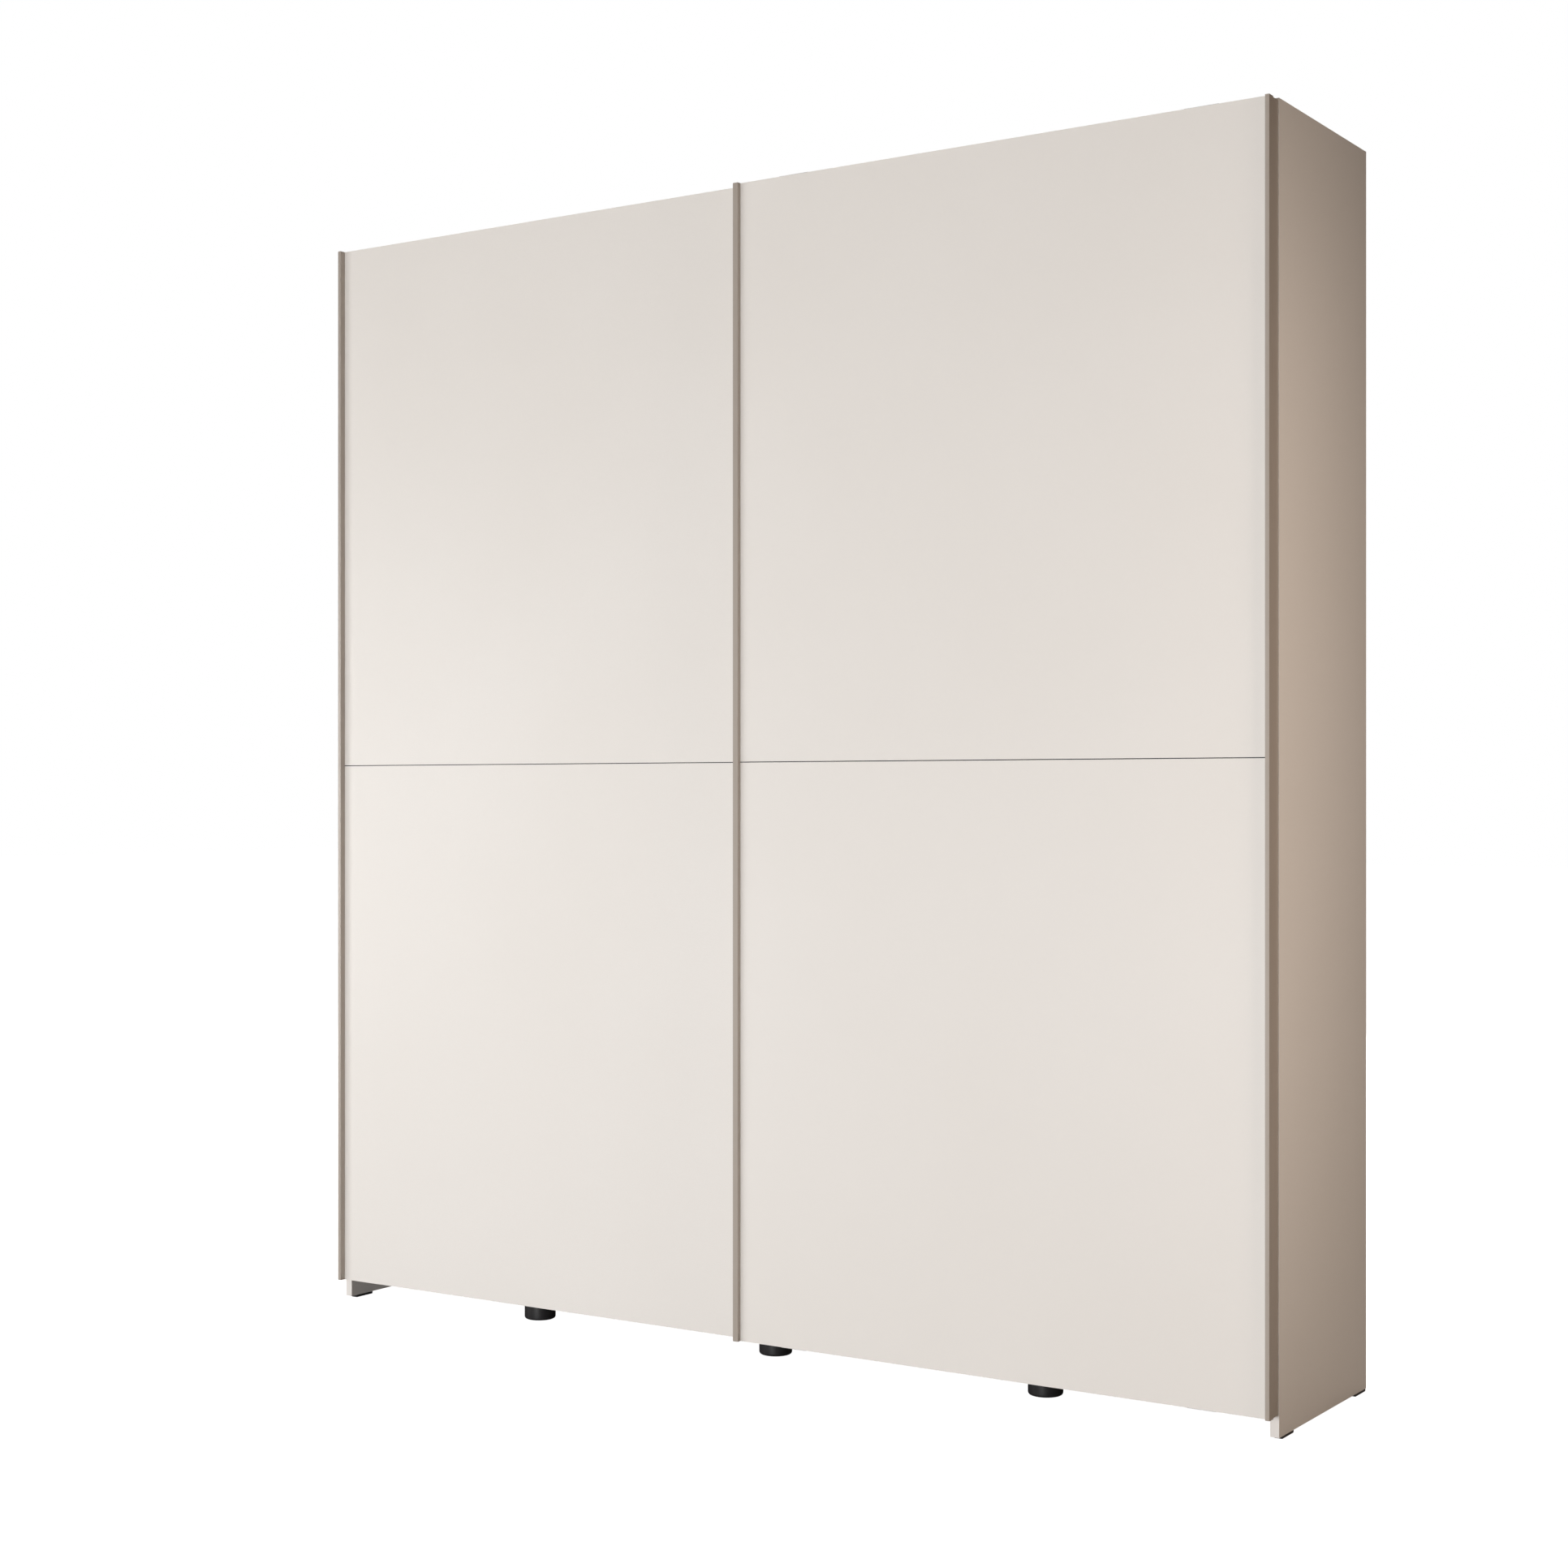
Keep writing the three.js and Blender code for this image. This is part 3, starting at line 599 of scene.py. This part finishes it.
def make_profile_plugs():
    """Two plugs for each handle profile, between its walls and the leaf that it holds."""
    for node, face, left_edge in (("left_door_handle_profile", END_FACE, True),
                                  ("right_door_centre_profile", CENTRE_FACE, True),
                                  ("right_door_handle_profile", END_FACE, False)):
        low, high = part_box(node)
        edge = low.x if left_edge else high.x
        inner = edge + face if left_edge else edge - face
        x_span = (min(edge, inner) + WALL, max(edge, inner) - WALL)
        leaf_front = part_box(node.split("_door")[0] + "_door_upper_board")[0].y
        y_span = (low.y + WALL, leaf_front - SEAT - WALL)
        plug(node + "_top_plug", x_span, y_span, high.z, 1, BODY_OF[node])
        plug(node + "_bottom_plug", x_span, y_span, low.z, -1, BODY_OF[node])


def make_door_screws():
    """Countersunk screws through each hanger plate and guide bracket into the leaf."""
    pattern = screw_head(3.6 * MM, 0.7 * MM)
    hanger_columns, hanger_rows = (-19 * MM, 19 * MM), (10 * MM, 36 * MM)
    bracket_screws = ((-15 * MM, 10 * MM), (15 * MM, 10 * MM), (0, 26 * MM))
    for door in ("left_door", "right_door"):
        for end in ("left", "right"):
            hanger = door + "_hanger_" + end
            low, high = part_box(hanger)
            face = low.y + SHEET
            middle = (low.x + high.x) / 2
            places = [(middle + dx, face, low.z + dz) for dx in hanger_columns for dz in hanger_rows]
            placed(hanger + "_screws", pattern, places, (0, 1, 0), door, "steel", HARDWARE_SPIN)
            bracket = door + "_guide_" + end + "_bracket"
            low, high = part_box(bracket)
            face = low.y + SHEET
            places = [(middle + dx, face, high.z - dz) for dx, dz in bracket_screws]
            placed(bracket + "_screws", pattern, places, (0, 1, 0), door, "steel", HARDWARE_SPIN)


def make_bearings():
    """The pressed bearing in each roller, a stepped ring round the pin on both faces."""
    for name in (node for node in NODES if "_roller_" in node):
        low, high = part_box(name)
        centre = (low + high) / 2
        half_width = (high.y - low.y) / 2
        bore, outer = 3.3 * MM, 7.6 * MM
        rim, seal = half_width + 0.3 * MM, half_width + 0.05 * MM
        profile = [(bore, -half_width), (bore, rim), (bore + 1.1 * MM, rim), (bore + 1.3 * MM, seal),
                   (outer - 1.2 * MM, seal), (outer - 1.0 * MM, rim), (outer, rim),
                   (outer, half_width - 0.4 * MM)]
        profile += [(r, -h) for r, h in profile[-2:0:-1]]
        profile.append(profile[0])
        mesh = mesh_of(name + "_bearing", revolve(profile, 40))
        close_seam(mesh)
        mesh.transform(Matrix.Translation(centre) @ towards((0, 1, 0)))
        piece(name + "_bearing", mesh, name, "steel")


# ---------------------------------------------------------------- carcass hardware

def make_track_hardware():
    """Screws down the top track, on its four stops, and up through the floor guide."""
    low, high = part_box("top_track")
    floor = low.z + TRACK_BASE
    y = low.y + TRACK_MARGIN + LANE_PITCH / 4
    edge = 60 * MM
    pan = screw_head(3.2 * MM, 1.7 * MM)
    xs = spread(low.x + edge, high.x - edge, TRACK_SCREWS)
    places = [(x, y, floor) for x in xs]
    placed("top_track_screws", pan, places, (0, 0, 1), "carcass", "steel", HARDWARE_SPIN)
    small = screw_head(2.6 * MM, 1.4 * MM)
    stops = [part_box(node) for node in NODES if node.startswith("track_stop_")]
    places = [((a.x + b.x) / 2, (a.y + b.y) / 2, b.z) for a, b in stops]
    placed("track_stop_screws", small, places, (0, 0, 1), "carcass", "steel", HARDWARE_SPIN)
    low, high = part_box("floor_guide")
    y = low.y + GUIDE_MARGIN + GUIDE_PITCH / 2
    flat = screw_head(2.4 * MM, 0.5 * MM)
    xs = spread(low.x + edge, high.x - edge, GUIDE_SCREWS)
    places = [(x, y, low.z) for x in xs]
    placed("floor_guide_screws", flat, places, (0, 0, -1), "carcass", "steel", HARDWARE_SPIN)


def make_rod_screws():
    """Two screws up through the flange of each rod holder."""
    flange, inset = 3 * MM, 5 * MM
    pattern = screw_head(2.8 * MM, 1.3 * MM)
    for node in ("rod_holder_front", "rod_holder_rear"):
        low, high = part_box(node)
        y, under = (low.y + high.y) / 2, high.z - flange
        places = [(x, y, under) for x in (low.x + inset, high.x - inset)]
        placed(node + "_screws", pattern, places, (0, 0, -1), "carcass", "steel", HARDWARE_SPIN)


def make_back_nails():
    """Flat nails through the back boards into the top, base and hat shelves."""
    pattern = nail_head(2 * MM)
    for side, shelf in (("left", "hat_shelf_left"), ("right", "hat_shelf_right")):
        low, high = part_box("back_panel_" + side)
        inset = 28 * MM
        boxes = [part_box(board) for board in ("top_panel", "base_panel", shelf)]
        rows = [(a.z + b.z) / 2 for a, b in boxes]
        places = [(x + random.uniform(-2, 2) * MM, high.y, z) for z in rows
                  for x in spread(low.x + inset, high.x - inset, NAILS_IN_ROW)]
        placed("back_nails_" + side, pattern, places, (0, 1, 0), "carcass", "steel")


def make_cam_covers():
    """Round press-in covers over the cam fittings, under the hat shelves and the top panel."""
    radius, proud = 8.5 * MM, 1.0 * MM
    profile = [(0, -0.2 * MM), (radius, -0.2 * MM), (radius, 0.35 * MM), (radius - 0.5 * MM, 0.85 * MM),
               (radius - 1.6 * MM, proud), (2.2 * MM, proud), (1.6 * MM, 0.55 * MM), (0, 0.5 * MM)]
    pattern = mesh_of("cam_cover", revolve(profile, 32))
    inset, edge = 34 * MM, 62 * MM
    for board in ("hat_shelf_left", "hat_shelf_right", "top_panel"):
        low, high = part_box(board)
        xs = [low.x + inset, high.x - inset]
        if board == "top_panel":
            xs += [-inset, inset]
        places = [(x, y, low.z) for x in xs for y in (low.y + edge, high.y - edge)]
        placed(board + "_cam_covers", pattern, places, (0, 0, -1), "carcass", "nylon")


def shelf_pin_rows():
    """The y of the two rows of shelf holes."""
    inset = 37 * MM
    low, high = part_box(SHELVES[0])
    return low.y + inset, high.y - inset


def shelf_pin_walls():
    """The two boards that hold the loose shelves, the x of each one's face, and the way into it."""
    return (("centre_partition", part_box("centre_partition")[1].x, -1),
            ("side_panel_right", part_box("side_panel_right")[0].x, 1))


def make_shelf_pins():
    """Plated pins under each loose shelf, each with a thin collar in the gap beside the shelf."""
    radius, length = SHELF_PIN_RADIUS, 9 * MM
    profile = [(0, -6 * MM), (radius * 0.96, -6 * MM), (radius * 0.96, 0), (4 * MM, 0), (4 * MM, 0.15 * MM),
               (3.9 * MM, 0.25 * MM), (radius, 0.25 * MM), (radius, length - 0.5 * MM),
               (radius - 0.5 * MM, length), (0, length)]
    pattern = mesh_of("shelf_pin", revolve(profile, 20))
    for shelf in SHELVES:
        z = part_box(shelf)[0].z - radius - 0.05 * MM
        for side, (_, x, sign) in zip(("left", "right"), shelf_pin_walls()):
            places = [(x, y, z) for y in shelf_pin_rows()]
            placed(f"{shelf}_pins_{side}", pattern, places, (-sign, 0, 0), "carcass", "steel")


def drill_shelf_holes():
    """Cuts the rows of shelf holes into the side panel and the partition."""
    depth = 9 * MM
    profile = [(0, -1 * MM), (SHELF_PIN_RADIUS, -1 * MM), (SHELF_PIN_RADIUS, depth - 0.8 * MM), (0, depth)]
    drill = mesh_of("drill", revolve(profile, 16))
    for node, x, sign in shelf_pin_walls():
        places = []
        for shelf in SHELVES:
            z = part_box(shelf)[0].z - SHELF_PIN_RADIUS
            places += [(x, y, z + step * HOLE_PITCH) for y in shelf_pin_rows()
                       for step in range(-HOLES_EACH_WAY, HOLES_EACH_WAY + 1)]
        tool = placed(node + "_hole_tool", drill, places, (sign, 0, 0), "carcass", "carcass_board")
        tool.hide_render = True
        tool.hide_viewport = True
        holes = NODES[node].modifiers.new("shelf_holes", "BOOLEAN")
        holes.operation = "DIFFERENCE"
        holes.solver = "EXACT"
        holes.object = tool


make_camera()
make_studio()
dress_cad_nodes()
make_feet()
make_profile_plugs()
make_door_screws()
make_bearings()
make_track_hardware()
make_rod_screws()
make_back_nails()
make_cam_covers()
make_shelf_pins()
drill_shelf_holes()
